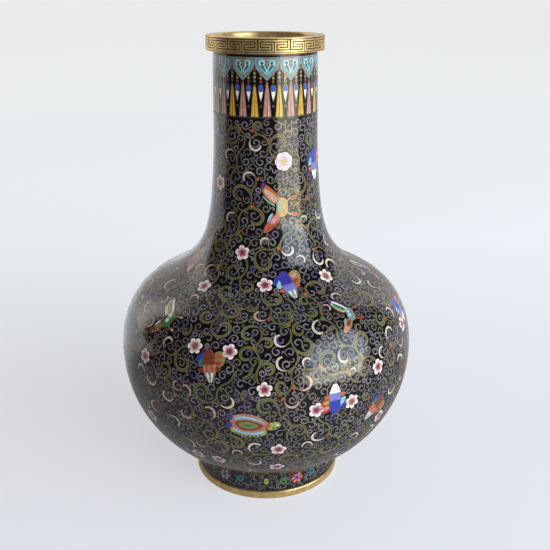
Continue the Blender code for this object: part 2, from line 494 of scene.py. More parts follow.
# The enamels of the decoration: one colour each, or stops along the tone.
# Vines and crescents have two families each, from the middle of a cell to its rim.
PAINTS = {
    "violet": (62, 54, 146),
    "lavender": (118, 122, 196),
    "blue": (46, 62, 156),
    "sky": (142, 196, 226),
    "turquoise": (120, 178, 164),
    "teal": (58, 112, 128),
    "green": (66, 122, 78),
    "lime": (158, 164, 70),
    "olive": (140, 128, 70),
    "orange": (190, 98, 50),
    "red": (172, 52, 48),
    "russet": (122, 58, 40),
    "tan": (176, 126, 100),
    "beige": (196, 160, 142),
    "rose": (206, 134, 140),
    "rust": (176, 84, 70),
    "amber": (196, 152, 86),
    "plum": (96, 48, 128),
    "cream": (230, 230, 226),
    "grey": (128, 132, 122),
    "lappet_edge": (122, 148, 164),
    "lappet": (116, 178, 184),
    "lappet_light": (170, 216, 218),
    "lappet_dark": (56, 92, 116),
    "drop_blue": (64, 92, 168),
    "scroll": [
        (0.0, (90, 86, 88)), (0.3, (128, 120, 132)), (0.5, (84, 77, 118)), (0.7, (112, 98, 88)),
        (0.85, (98, 100, 76)), (1.0, (134, 134, 132)),
    ],
    "vine": [(0.0, (72, 76, 48)), (0.45, (128, 128, 80)), (0.55, (84, 74, 52)), (1.0, (140, 126, 86))],
    "crescent": [
        (0.0, (184, 166, 140)), (0.45, (232, 224, 210)), (0.55, (176, 140, 124)), (1.0, (224, 196, 188)),
    ],
    "bud": [(0.0, (182, 52, 44)), (0.4, (206, 96, 50)), (0.7, (84, 120, 66)), (1.0, (132, 60, 72))],
    "rose_petal": [
        (0.0, (104, 44, 56)), (0.34, (132, 62, 78)), (0.5, (186, 128, 140)), (0.78, (236, 212, 214)),
        (1.0, (246, 238, 236)),
    ],
    "pale_petal": [
        (0.0, (190, 172, 92)), (0.3, (200, 178, 120)), (0.4, (206, 180, 190)), (0.85, (218, 194, 208)),
        (1.0, (240, 228, 234)),
    ],
    "ochre_petal": [
        (0.0, (138, 96, 52)), (0.34, (140, 88, 78)), (0.5, (198, 150, 150)), (0.78, (238, 216, 212)),
        (1.0, (246, 238, 232)),
    ],
    "tassel_pink": [(0.0, (132, 84, 72)), (0.35, (174, 126, 108)), (1.0, (214, 166, 162))],
    "tassel_yellow": [(0.0, (158, 98, 36)), (0.35, (196, 148, 52)), (1.0, (224, 200, 88))],
}
PITS = {"crescent": 0.35, "rose_petal": 0.3, "pale_petal": 0.3, "ochre_petal": 0.3}  # fainter than elsewhere
SECOND_FAMILY = 0.55  # tone at which the second family starts
RIM_GLOW = 0.3  # how much a rim's tone is above its middle's


# ---------------------------------------------------------------- small shapes


def arc(radius, start, end, count, centre=(0.0, 0.0)):
    turn = np.radians(np.linspace(start, end, count))
    return np.stack([centre[0] + radius * np.cos(turn), centre[1] + radius * np.sin(turn)], -1)


def oval(width, height, centre=(0.0, 0.0), turn=0.0, count=14):
    t = np.linspace(0, TAU, count, endpoint=False)
    x, y = width / 2 * np.cos(t), height / 2 * np.sin(t)
    c, s = math.cos(turn), math.sin(turn)
    return np.stack([centre[0] + c * x - s * y, centre[1] + s * x + c * y], -1)


def rounded(corners, passes=2):
    """A loop with its corners cut smooth."""
    loop = np.array(corners, float)
    for _ in range(passes):
        nxt = np.roll(loop, -1, 0)
        loop = np.stack([0.75 * loop + 0.25 * nxt, 0.25 * loop + 0.75 * nxt], 1).reshape(-1, 2)
    return loop


def both_sides(half):
    """A loop from its left half, listed from end to end. Points on the middle line are not doubled."""
    return [*half, *[(-x, y) for x, y in reversed(half) if x]]


def with_head(path, half):
    """The path and half widths with a round head added at the end."""
    ahead = path[-1] - path[-2]
    ahead /= np.linalg.norm(ahead)
    reach = half[-1]
    extra = [(0.5, 0.87), (0.87, 0.5), (0.99, 0.12)]
    path = np.vstack([path, [path[-1] + ahead * reach * step for step, _ in extra]])
    return path, np.concatenate([half, [reach * width for _, width in extra]])


def scroll(radius, turns, half):
    """One of the small curled hooks that fill the ground: a thin tail that winds in to a round head."""
    count = max(8, round(radius * turns * 5))
    t = np.linspace(0, 1, count)
    angle = TAU * turns * t
    reach = radius * (1.16 - 0.74 * t)
    path = np.stack([reach * np.cos(angle), reach * np.sin(angle)], -1)
    tail = [(path[0, 0] + u * u / 7, -u) for u in (3.4, 2.6, 1.8, 0.9)]
    path = np.vstack([tail, path])
    width = half * (0.35 + 0.65 * np.clip(np.linspace(0, 2.2, len(path)), 0, 1))
    path, width = with_head(path, width)
    stencil = Stencil()
    ribbon(stencil.layer("scroll"), path, width - 0.02, SCROLL_TOP)
    left, right = sides(path, width)
    ribbon(stencil.layer("wire"), np.vstack([left, right[::-1]]), 0.055, SCROLL_TOP + 0.004, closed=True)
    return stencil


def blossom(colour, radius=6.3, petals=5, depth=0.44):
    """A prunus blossom: one notched rim of petals, wires between them and a dark eye."""
    stencil = Stencil()
    t = np.linspace(0, TAU, 110, endpoint=False)
    lobe = np.abs(np.sin(petals * t / 2)) ** 0.5
    rim = radius * (1 - depth + depth * lobe)
    loop = np.stack([rim * np.cos(t), rim * np.sin(t)], -1)
    stencil.cell(loop, colour, rings=8, centre=(0, 0), tones=(0.0, 1.0), width=0.24)
    for k in range(petals * 2):
        turn = TAU * k / petals / 2
        ray = np.array([math.cos(turn), math.sin(turn)])
        stencil.wire([ray * radius * 0.2, ray * radius * (0.5 if k % 2 else 0.58)], width=0.2)
    return stencil


def bud(length=4.0, width=2.3):
    """A small pointed bud, its point at the top."""
    stencil = Stencil()
    tip = (0.0, length * 0.65)
    stencil.patch(both_sides([tip, (-width / 2, 0), (-width / 3, -length * 0.35)]), "bud", passes=1)
    return stencil


def moth():
    """A plump moth, head up: a body in three zones, two unlike wings and two fins."""
    stencil = Stencil()
    stencil.patch([(-3.6, 10.2), (-10.6, 5.2), (-11, 1.6), (-7.4, 3.2), (-4, 6.4)], "wing_a")
    stencil.patch([(-4.4, 6.2), (-7.8, 3), (-9.8, 0.4), (-8.4, -2.4), (-4.8, -1)], "wing_b")
    for x, y in ((-8.4, 0.4), (-7.2, -1.4), (-6.8, 1.4)):
        stencil.dot(x, y, "spot", 1.3)
    right = [(3.6, 7.4), (7.6, 9.6), (12, 8.2), (13.2, 3.6), (11, -1.6), (6.8, -3), (4.6, -0.6)]
    stencil.patch(right, "wing_c")
    stencil.patch([(4.4, 5.6), (8.2, 7.4), (10.8, 5.4), (9.4, 3.6), (6, 3)], "wing_d", 1)
    stencil.patch([(4.8, 1.6), (8.6, 2.4), (10.6, 0.6), (7, -1.6), (5.2, -0.6)], "wing_e", 1)
    stencil.patch([(-4.6, -2.2), (-10, -3.2), (-8, -6), (-4.6, -5.8)], "fin", passes=1)
    stencil.patch([(4.6, -2.2), (9.8, -2.6), (8, -5.6), (4.6, -5.8)], "fin", passes=1)
    head = both_sides([(-5.3, 0), (-5, 4), (-3.8, 8.2), (-1.6, 11)])
    stencil.cell([*head, (0, -0.8)], "body")
    levels = [(5.3, 0), (5.0, -6.2), (3.4, -10.4), (1.4, -13.8)]  # half widths of the body, with their places
    stripes = 5
    for (upper, top), (lower, bottom), zone in zip(levels, levels[1:], ("waist", "tip", "tip")):
        for k in range(stripes):
            a, b = (k - 2.5) * 0.4, (k - 1.5) * 0.4
            strip = [(a * upper, top), (a * lower, bottom), (b * lower, bottom), (b * upper, top)]
            stencil.cell(strip, zone if k % 2 else zone + "_pale", width=0.12)
    return stencil


def butterfly():
    """A butterfly that faces right, with its wings swept back and two antennae."""
    stencil = Stencil()
    upper = [
        (1.2, 6.4), (-1.8, 10.4), (-6.8, 14.8), (-11.8, 19), (-14.4, 16.6), (-13.2, 10.6), (-8.6, 5.2),
        (-3.4, 2),
    ]
    stencil.patch(upper, "wing_edge", centre=(-6, 9.5))
    inner = [
        (-0.8, 6.2), (-3.6, 9.4), (-8.2, 13), (-11.4, 15.6), (-12.6, 13.6), (-11.6, 10.2), (-7.6, 5.8),
        (-3.6, 3.2),
    ]
    stencil.patch(inner, "wing", 1, centre=(-6.8, 9))
    stencil.patch([(-10.6, 17.4), (-12.2, 20.2), (-15, 17.2), (-14, 13.8), (-12, 15.2)], "wing_tip", 1, 1)
    trim = [(-13.8, 10.2), (-12.4, 6.8), (-7.4, 2.4), (-3.4, 0.6), (-4.6, 2.4), (-9, 5.2)]
    stencil.patch(trim, "trim", 1, 1)
    lower = [
        (0.8, -6.6), (-1.6, -12), (-7.6, -17.8), (-14, -20.4), (-13.4, -16.2), (-10.4, -11.4), (-7, -7.4),
        (-3.4, -4.6),
    ]
    stencil.patch(lower, "hind", centre=(-6, -11.6))
    inner = [(-0.6, -6.8), (-2.8, -10.6), (-6.4, -13.4), (-8.6, -12.4), (-6.6, -8.4), (-3.4, -5.8)]
    stencil.patch(inner, "hind_inner", 1)
    for x, y in ((-3.6, -12.6), (-6.4, -15), (-9.4, -16.6)):
        stencil.dot(x, y, "spot")
    stencil.patch([(-10.8, -11), (-8.6, -6), (-5.4, -3.6), (-6.4, -7), (-9, -11.4)], "hind_trim", 1, 1)
    thorax = [(-3.6, 6.4), (1.2, 8), (5.6, 5.6), (6.6, 0), (5.6, -6), (1.2, -8.4), (-3.8, -5.6), (-2.4, 0)]
    stencil.patch(thorax, "thorax")
    for y in (3.4, -1.2):
        stencil.patch([(-2, y + 2), (2, y + 2), (2.2, y - 2), (-1.8, y - 2)], "abdomen", 1)
    for side in (1, -1):
        stem = [(5.4, 4.2 * side), (7.2, 5.6 * side), (8.6, 6.2 * side)]
        stencil.stroke(stem, 0.4, "lime")
        stencil.cell(oval(6.4, 3, (11.6, 6.4 * side), 0.22 * side, 16), "antenna")
        stencil.cell(oval(3.4, 1.4, (11.8, 6.4 * side), 0.22 * side, 12), "spot", 1, width=0.18)
    return stencil


def resting_butterfly():
    """A butterfly at rest, seen from the side and facing right, over a scalloped hind wing."""
    stencil = Stencil()
    t = np.linspace(0, TAU, 72, endpoint=False)
    scallop = 1 + 0.06 * np.abs(np.sin(10 * t))
    hind = np.stack([13.4 * scallop * np.cos(t) - 1, 5.6 * scallop * np.sin(t) - 5.6], -1)
    stencil.cell(hind, "lime", centre=(-1, -5.6))
    stencil.cell(oval(24, 8.4, (-1, -4.9), count=36), "sky", 1)
    for k in range(7):
        x = -10 + 3.0 * k
        y = -5.6 - 4.6 * math.sqrt(max(0.0, 1 - ((x + 1) / 13.2) ** 2))
        stencil.dot(x, y, "blue" if k % 2 else "green", 1.7, count=12)
    fore = [
        (-16, 1), (-14.5, 6), (-9, 9.2), (-1, 10), (6.5, 8.4), (12.5, 4.6), (15, 1.4), (11, -3.6), (4, -6.8),
        (-5, -7.4), (-12, -5),
    ]
    stencil.patch(fore, "tan", 2, centre=(-2, 1.2))
    stripe = [
        (-13.4, 3), (-11, 6.4), (-4, 7.6), (3, 7), (9, 4.4), (11, 2.6), (8, 3.2), (2, 5.4), (-5, 5.8),
        (-10, 4.4),
    ]
    stencil.patch(stripe, "sky", 3, 1, centre=(-1, 6.2))
    ruddy = [(-12.6, 0.6), (-8, 3.8), (-1, 4.6), (7, 2.6), (10.6, 0.4), (6, -3.6), (-1, -5.6), (-8, -4.6)]
    stencil.patch(ruddy, "russet", 3)
    brown = [(-9.6, 0.2), (-5, 2.8), (1, 2.8), (7, 0.6), (3, -2.8), (-3, -3.6), (-7.4, -2.6)]
    stencil.patch(brown, "olive", 4)
    stencil.cell(oval(8.4, 3.2, (-1.6, -0.3), 0.03, 18), "green", 5)
    for y, turn in ((5.4, 0.5), (-2.6, -0.4)):
        stencil.cell(oval(4.6, 6.4, (-15.8, y), turn, 14), "violet", 3)
    head = [(10.6, 0.6), (14.6, 4.2), (19.4, 5.6), (23, 3.2), (21.8, -1), (16, -3.4), (11.4, -2.6)]
    stencil.patch(head, "lime", 3, centre=(16.5, 1))
    stencil.patch([(10.8, 1), (14, 3.8), (15.4, 0.6), (13.4, -2.6), (11.2, -2)], "rust", 4, 1)
    spots = [(20.2, 2, "cream"), (17.2, 3, "turquoise"), (17.6, -0.8, "green"), (20.4, -0.2, "blue")]
    for x, y, colour in spots:
        stencil.dot(x, y, colour, 2, 4, 12)
    return stencil


MOTH_PARTS = "body waist waist_pale tip tip_pale wing_a wing_b spot wing_c wing_d wing_e fin".split()
MOTH_COLOURS = {
    "violet": "violet lavender lavender cream grey blue sky cream olive rose red orange",
    "russet": "russet rust tan cream grey blue teal green olive rust red russet",
    "blue": "blue lavender lavender cream cream blue sky turquoise red rose lime orange",
    "tawny": "beige tan beige cream tan plum lavender cream grey rose lavender orange",
}
BUTTERFLY_PARTS = "wing_edge wing wing_tip trim hind hind_inner spot hind_trim thorax abdomen antenna".split()
BUTTERFLY_COLOURS = {
    "rose": "orange beige plum turquoise rust rose russet sky amber turquoise orange",
    "green": "cream green plum orange tan russet red turquoise grey sky red",
    "olive": "cream olive olive cream russet olive cream cream green cream russet",
}


def dress(parts, colours):
    """Which colour each part of a motif takes."""
    return dict(zip(parts, colours.split()))


# ---------------------------------------------------------------- the field of scrolls

# The front's motifs, to the nearest 5 degrees and 5 mm. Degrees are from the front, and heights from the foot.
BLOSSOM_ROWS = [  # a height, with the degrees of its blossoms
    (290, [20]), (270, [-55]), (220, [-20]), (200, [0, 45]), (195, [-40]), (155, [70]), (145, [-50]),
    (140, [0, 45]), (90, [-50, 50]), (85, [5]), (65, [-30, -20]), (60, [5]),
]
BLOSSOM_PAIRS = [(-20, 165), (25, 120)]  # degrees and height: a blossom at either side of a moth
PAIR_REACH = 7  # degrees from the middle of a pair
MOTHS = [  # degrees, height, turn, colours
    (15, 200, 15, "violet"), (-20, 155, 10, "russet"), (25, 125, 180, "blue"), (45, 105, -50, "russet"),
    (75, 165, 10, "blue"), (65, 285, 0, "blue"), (-70, 205, 35, "tawny"),
]
BUTTERFLIES = [  # degrees, height, turn, size, colours
    (15, 255, 0, 1.0, "rose"), (40, 180, -10, 0.8, "green"), (-45, 175, -5, 0.9, "olive"),
]
RESTING = (-5, 110, -5)  # degrees, height, turn
RESTING_REACH = 20.0  # mm kept clear around a motif
BUTTERFLY_REACH = 17.0
MOTH_REACH = 12.0
BLOSSOM_REACH = 7.0
SCATTERED = {"butterfly": 5, "moth": 8, "blossom": 30}  # how many of each lie behind
WIDEST = 125  # mm, a little over the belly's radius


class Crowd:
    """Places already taken, in 3-D and in mm, kept in bins so that near ones are found fast."""

    def __init__(self, bin_size):
        self.bin_size = bin_size
        self.bins = {}

    def key(self, point):
        return tuple(int(c // self.bin_size) for c in point)

    def add(self, point, reach=0.0):
        self.bins.setdefault(self.key(point), []).append((*point, reach))

    def clear(self, point, reach):
        """True if nothing lies within reach, or within its own reach besides."""
        kx, ky, kz = self.key(point)
        x, y, z = point
        for bin_key in product((kx - 1, kx, kx + 1), (ky - 1, ky, ky + 1), (kz - 1, kz, kz + 1)):
            for px, py, pz, near in self.bins.get(bin_key, ()):
                limit = reach + near
                if (px - x) ** 2 + (py - y) ** 2 + (pz - z) ** 2 < limit * limit:
                    return False
        return True


def lay_motifs(field, low, high, dice):
    """Blossoms and winged insects: the front ones in their places, the back ones scattered."""
    chart = field.chart
    taken = Crowd(45.0)
    blooms = [blossom("rose_petal"), blossom("ochre_petal", petals=6), blossom("rose_petal", 6.0)]
    pale = blossom("pale_petal", 7.2, 7, 0.16)
    insect, flier, sitter = moth(), butterfly(), resting_butterfly()

    def place(degrees, s):
        return tuple(chart.place([(math.radians(degrees), s, 0)])[0] / MM)

    def put(stencil, degrees, s, turn, reach, **more):
        field.stamp(stencil, math.radians(degrees), s, math.radians(turn), **more)
        taken.add(place(degrees, s), reach)
        if reach == BLOSSOM_REACH:
            field.blooms.append((math.radians(degrees), s))

    def put_moth(degrees, s, turn, colours):
        put(insect, degrees, s, turn, MOTH_REACH, palette=dress(MOTH_PARTS, MOTH_COLOURS[colours]))

    def put_butterfly(degrees, s, turn, size, colours):
        palette = dress(BUTTERFLY_PARTS, BUTTERFLY_COLOURS[colours])
        put(flier, degrees, s, turn, BUTTERFLY_REACH, size=size, palette=palette)

    blossoms = [(degrees, height) for height, row in BLOSSOM_ROWS for degrees in row]
    blossoms += [(middle + side * PAIR_REACH, height) for middle, height in BLOSSOM_PAIRS for side in (-1, 1)]
    for k, (degrees, height) in enumerate(blossoms):
        put(blooms[k % 3] if k else pale, degrees, chart.at_height(height), 70 * k, BLOSSOM_REACH)
    for degrees, height, *more in MOTHS:
        put_moth(degrees, chart.at_height(height), *more)
    for degrees, height, *more in BUTTERFLIES:
        put_butterfly(degrees, chart.at_height(height), *more)
    degrees, height, turn = RESTING
    put(sitter, degrees, chart.at_height(height), turn, RESTING_REACH)

    reaches = {"butterfly": BUTTERFLY_REACH, "moth": MOTH_REACH, "blossom": BLOSSOM_REACH}
    scattered = [kind for kind, count in SCATTERED.items() for _ in range(count)]
    for k, kind in enumerate(scattered):
        reach = reaches[kind]
        for _ in range(400):
            s = dice.uniform(low + reach, high - reach)
            degrees = 180 + dice.uniform(-100, 100)
            if dice.random() * WIDEST > chart.radius(s) or not taken.clear(place(degrees, s), reach + 2):
                continue
            if kind == "butterfly":
                colours = dice.choice(sorted(BUTTERFLY_COLOURS))
                put_butterfly(degrees, s, dice.uniform(0, 360), 0.85, colours)
            elif kind == "moth":
                colours = dice.choice(sorted(MOTH_COLOURS))
                put_moth(degrees, s, dice.uniform(0, 360), colours)
            else:
                put(blooms[k % 3], degrees, s, dice.uniform(0, 360), reach)
            break


def walk(chart, start, heading, bend, length):
    """A path in chart coordinates, in steps of about 1 mm, that turns by bend(share) radians per mm."""
    angle, s = start
    path = [(angle, s)]
    count = max(3, round(length))
    step = length / count
    for k in range(count):
        heading += bend(k / count) * step
        angle += math.cos(heading) * step / float(chart.radius(s))
        s += math.sin(heading) * step
        path.append((angle, s))
    return np.array(path), heading


def volute_bend(side, size):
    """Tightens steadily, so that the path rolls up into an open volute of that radius."""
    return lambda t: side * (0.45 + 1.15 * t) / size


def with_head_on_chart(chart, path, half):
    """A round head at the end of a path in chart coordinates."""
    scale = np.array([float(chart.radius(path[-1, 1])), 1.0])
    flat, head = with_head(path[-2:] * scale, half[-2:])
    return np.vstack([path, flat[2:] / scale]), np.concatenate([half, head[2:]])


VINE_HALF = 0.62  # mm, half the width of an olive volute at its start
VINE_ROOM = 2.9  # mm kept clear around a new stem
VOLUTE_ROOM = 1.7
LAID_ROOM = 0.6  # mm kept clear around a vine besides, once it is laid


class Vines:
    """Olive vines that grow over the field and keep clear of what is there already."""

    def __init__(self, field, low, high, dice):
        self.field, self.chart, self.dice = field, field.chart, dice
        self.low, self.high = low, high
        self.crowd = Crowd(4.2)
        self.bud = bud()
        for marks in field.marks:
            self.occupy(marks[::2, :2], 0.3)

    def places(self, path):
        return [tuple(place) for place in self.chart.place(lifted(path, 0)) / MM]

    def occupy(self, path, reach):
        for place in self.places(path):
            self.crowd.add(place, reach)

    def has_room(self, path, reach, skip):
        inside = (path[skip:, 1] > self.low + 1.2) & (path[skip:, 1] < self.high - 1.2)
        return inside.all() and all(self.crowd.clear(place, reach) for place in self.places(path[skip:]))

    def volute(self, start, heading, side, sizes, skip=6):
        """The largest volute of those sizes that has room, in olive or ending in a cream crescent."""
        for size in sizes:
            cream = self.dice.random() < 0.46
            length = self.dice.uniform(3.7, 4.3) if cream else self.dice.uniform(4.2, 5.0)
            path, _ = walk(self.chart, start, heading, volute_bend(side, size), length * size)
            if self.has_room(path, VOLUTE_ROOM, skip):
                self.draw_volute(path, size, cream)
                return True
        return False

    def draw_volute(self, path, size, cream):
        if cream:
            cut = round(len(path) * 0.3)
            self.draw(path[: cut + 1], np.linspace(0.6, 0.42, cut + 1), "vine")
            upper = path[cut:]
            t = np.linspace(0, 1, len(upper))
            half = 0.2 + (0.1 * size + 0.14) * np.sin(np.pi * np.clip(t * 0.86, 0, 1)) ** 0.8
            self.draw(upper, half, "crescent", head=True)
        else:
            t = np.linspace(0, 1, len(path))
            half = VINE_HALF + 0.11 * size * np.sin(np.pi * np.clip(t * 0.9, 0, 1)) - 0.1 * t
            self.draw(path, half, "vine", head=True)
        self.occupy(path, LAID_ROOM)

    def draw(self, path, half, colour, head=False):
        second = self.dice.random() < 0.4
        tone = SECOND_FAMILY * second + self.dice.uniform(0, 0.12)
        if head:
            path, half = with_head_on_chart(self.chart, path, half)
        self.field.vine(path, half, colour, tone)

    def grow(self, start, heading, least, first_skip=0):
        """A stem that sways from side to side. Wherever it turns back, a volute carries on round the bend."""
        dice = self.dice
        side = dice.choice((-1, 1))
        stem, forks = [start], []
        while len(forks) < 8:
            wide = dice.uniform(8.0, 12.0)
            part, turned = walk(self.chart, stem[-1], heading, lambda t: side / wide, dice.uniform(9.5, 14.0))
            if not self.has_room(part, VINE_ROOM, first_skip if len(stem) == 1 else 0):
                break
            stem += [tuple(point) for point in part[1:]]
            forks.append((tuple(part[-1]), turned, side))
            heading, side = turned, -side
        if len(forks) < least:
            return False
        stem = np.array(stem)
        self.draw(stem, np.linspace(0.68, 0.52, len(stem)), "vine")
        self.occupy(stem, LAID_ROOM)
        end, turned, side = forks[-1]
        ends = [(end, turned + 0.35 * side, side), (end, turned - 0.35 * side, -side)]
        for place, turned, side in [*ends, *forks[:-1]]:
            size = dice.uniform(5.4, 6.8)
            if self.volute(place, turned, side, [size * share for share in (1, 0.84, 0.7, 0.58)]):
                self.add_bud(place, turned)
        return True

    def add_bud(self, place, heading):
        """Sometimes a red or green bud in the fork."""
        if self.dice.random() > 0.6:
            return
        reach = 5.4
        angle = place[0] + math.cos(heading) * reach / float(self.chart.radius(place[1]))
        s = place[1] + math.sin(heading) * reach
        self.field.stamp(self.bud, angle, s, heading - math.pi / 2, tone=self.dice.random())


def lay_vines(field, low, high, dice):
    """Stems from the blossoms first, then ever shorter ones wherever there is room, then single volutes."""
    vines = Vines(field, low, high, dice)
    chart = field.chart
    from_bloom = 6.2
    for angle, s in list(field.blooms):
        for _ in range(10):
            heading = dice.uniform(0, TAU)
            start_angle = angle + math.cos(heading) * from_bloom / float(chart.radius(s))
            if vines.grow((start_angle, s + math.sin(heading) * from_bloom), heading, 2, first_skip=4):
                break
    for least, tries in ((4, 500), (3, 500), (2, 700), (1, 900)):
        for _ in range(tries):
            s = dice.uniform(low + 4, high - 4)
            if dice.random() * WIDEST < chart.radius(s):
                vines.grow((dice.uniform(0, TAU), s), dice.uniform(0, TAU), least)
    for _ in range(1500):
        s = dice.uniform(low + 4, high - 4)
        if dice.random() * WIDEST < chart.radius(s):
            sizes = (dice.uniform(3.6, 5.0),)
            vines.volute((dice.uniform(0, TAU), s), dice.uniform(0, TAU), dice.choice((-1, 1)), sizes, skip=0)


def scroll_tone(dice):
    """Most scrolls are lavender grey; the rest are violet, brown, olive or pale."""
    pick = dice.random()
    for share, low, high in ((0.64, 0.0, 0.32), (0.77, 0.42, 0.54), (0.89, 0.64, 0.76), (0.96, 0.82, 0.9)):
        if pick < share:
            return dice.uniform(low, high)
    return dice.uniform(0.95, 1.0)


def scroll_spots(chart, low, high, dice, step=1.05):
    """Places all over the ground, about a step apart and in a shuffled order."""
    spots = []
    for row in np.arange(low + 1.2, high - 1.2, step):
        count = int(TAU * chart.radius(row) / step)
        shift = dice.random()
        for k in range(count):
            wobble = dice.uniform(-0.3, 0.3)
            spots.append(((k + shift) * TAU / count, row + wobble))
    order = np.array(dice.sample(range(len(spots)), len(spots)))
    return np.array(spots)[order]


def lay_scrolls(field, low, high, dice, part_of, radii=(3.5, 3.1, 2.75, 2.4, 2.05, 1.75), half=0.49):
    """Packs small scrolls into all the ground that is left, the largest that fit first.

    part_of gives the part of the field, from an angle and a distance, whose pieces a scroll joins.
    """
    chart = field.chart
    gap = 0.3
    spots = scroll_spots(chart, low, high, dice)
    places = chart.place(lifted(spots, 0)) / MM
    taken = [chart.place(marks[::2]) / MM for marks in field.marks]
    free = np.minimum(spots[:, 1] - low, high - spots[:, 1])
    if taken:
        free = np.minimum(free, nearest(np.vstack(taken), places))
    for radius in radii:
        small = radius < 2.2
        turns = [count - 0.35 * small for count in (0.8, 0.95, 1.1)]
        shapes = [scroll(radius - 0.5, count, half - 0.05 * small) for count in turns]
        crowd = Crowd(2 * radius + 0.1)
        chosen = []
        for k in np.flatnonzero(free >= radius):
            place = tuple(places[k])
            if not crowd.clear(place, 2 * radius - gap):
                continue
            crowd.add(place)
            chosen.append(k)
            flip = dice.random() < 0.5
            shape, turn = dice.choice(shapes), dice.uniform(0, TAU)
            field.stamp(shape, *spots[k], turn, flip=flip, tone=scroll_tone(dice), part=part_of(*spots[k]))
        if chosen:
            free = np.minimum(free, nearest(places[chosen], places) - radius + gap)


def nearest(targets, places):
    """Each place's distance to the nearest target."""
    tree = kdtree.KDTree(len(targets))
    for k, target in enumerate(targets):
        tree.insert(target, k)
    tree.balance()
    return np.array([tree.find(place)[2] for place in places])


# ---------------------------------------------------------------- the border of lappets and tassels

LAPPETS = 14
FIRST_LAPPET = 2.5  # degrees from the front


def lappet(pitch):
    """One hanging ruyi head, its top edge at v = 0: four colours, one inside another, and a pair of curls."""
    stencil = Stencil()
    w = pitch / 2
    left = [(-w * 0.98, -0.2), (-w * 0.98, -5.6), (-w * 0.86, -8.6), (-w * 0.5, -12.6), (0, -17.0)]
    outline = np.array(both_sides(left))
    middle = np.array([0, -5.6])
    shares = {"lappet_edge": 1.0, "olive": 0.8, "lappet": 0.73, "lappet_dark": 0.54}
    for level, (colour, share) in enumerate(shares.items()):
        stencil.cell(middle + (outline - middle) * share, colour, level, centre=middle)
    for side in (1, -1):
        curl = arc(1.75, 250, -50, 12, (-w * 0.4, -4.3)) * np.array([side, 1])
        tail = np.array([(-w * 0.16, -7.2), (-w * 0.07, -9.2), (-0.2, -11.4)]) * np.array([side, 1])
        path = np.vstack([curl, tail])
        stencil.stroke(path, np.linspace(0.85, 0.45, len(path)), "lappet_light", level=4)
    stencil.cell([(0, -2.6), (-1.0, -4.8), (0, -7.4), (1.0, -4.8)], "tan", 4)
    stencil.cell([(-1.7, -1.0), (0, -2.1), (1.7, -1.0), (0, -0.6)], "red", 4)
    stencil.cell([(0, -12.4), (-1.1, -13.6), (0, -15.2), (1.1, -13.6)], "lime", 4)
    return stencil


def tassel(length, foot, colour):
    """A hanging tassel whose knot is at v = 0, made of five strands side by side."""
    stencil = Stencil()
    t = np.linspace(0, 1, 12)
    half = 0.75 + (foot / 2 - 0.75) * t**0.85
    down = -0.8 - (length - 0.8) * t
    for k, tone in enumerate((0.35, 0.9, 0.15, 1.0, 0.45)):
        strand = np.stack([(k - 2) * 0.4 * half, down], -1)
        ribbon(stencil.layer(colour), strand, half * 0.19, CELL_TOP, tone * (0.6 + 0.4 * t))
    left, right = np.stack([-half, down], -1), np.stack([half, down], -1)
    stencil.wire(np.vstack([left, right[::-1]]), closed=True, width=0.18)
    return stencil


def bead(width, height, colour):
    stencil = Stencil()
    corners = both_sides([(0, height / 2), (-width / 2, 0), (0, -height / 2)])
    stencil.patch(corners, colour, passes=1, width=0.3)
    return stencil


def drop():
    """A pendant: a blue bulb over a long white point, with a small dot under it."""
    stencil = Stencil()
    bulb = both_sides([(0, 0.4), (-1.2, -0.4), (-1.9, -2.2), (-1.75, -4.8)])
    stencil.patch(bulb, "drop_blue", passes=1, width=0.34)
    point = both_sides([(-1.75, -4.8), (-1.3, -7.2), (-0.5, -10.4), (0, -12.6)])
    stencil.cell(point, "cream", width=0.34)
    stencil.dot(0, -15.6, "russet", 1.7, 0, width=0.26)
    return stencil


def lay_border(field, top):
    """Lappets under the rim, with a tassel under each point, one between, and drops beside them."""
    pitch = TAU * float(field.chart.radius(top - 8)) / LAPPETS
    hanging = lappet(pitch)
    pink, yellow = tassel(26.2, 6.4, "tassel_pink"), tassel(24.4, 6.2, "tassel_yellow")
    pendant = drop()
    chain = [bead(2.3, 2.7, colour) for colour in ("orange", "lime", "red")]
    long_chain = [bead(2.3, 2.9, colour) for colour in ("red", "lime", "beige", "green")]
    knot = bead(2.0, 2.4, "red")
    for k in range(LAPPETS):
        angle = math.radians(FIRST_LAPPET) + TAU * k / LAPPETS
        between = angle + TAU / LAPPETS / 2
        field.stamp(hanging, angle, top - 0.9)
        field.stamp(pink, angle, top - 18.6)
        field.stamp(knot, angle, top - 19.2)
        field.stamp(yellow, between, top - 20.4)
        field.stamp(knot, between, top - 21)
        for row, one in enumerate(long_chain):
            field.stamp(one, between, top - 9.6 - 2.75 * row)
        for side in (-1, 1):
            at = angle + side * TAU / LAPPETS / 4
            for row, one in enumerate(chain):
                field.stamp(one, at, top - 13.2 - 2.6 * row)
            field.stamp(pendant, at, top - 20.6)


# ---------------------------------------------------------------- the foot band

LOTUSES = 6
FIRST_LOTUS = 25  # degrees from the front


def lotus(colour):
    """A lotus seen from the side of its cup, twelve pointed petals about a blue seed head."""
    stencil = Stencil()
    for k in range(12):
        turn = TAU * k / 12
        ray = np.array([math.cos(turn), math.sin(turn)])
        across = np.array([-ray[1], ray[0]])
        reach = 6.2 if abs(ray[0]) > 0.5 else 4.6
        belly = ray * reach * 0.7
        petal = [ray * 1.7 - across * 0.5, belly - across * 0.95, ray * reach, belly + across * 0.95]
        stencil.cell([*petal, ray * 1.7 + across * 0.5], colour if k % 2 else "rose")
    stencil.cell(oval(3, 4), "blue")
    return stencil


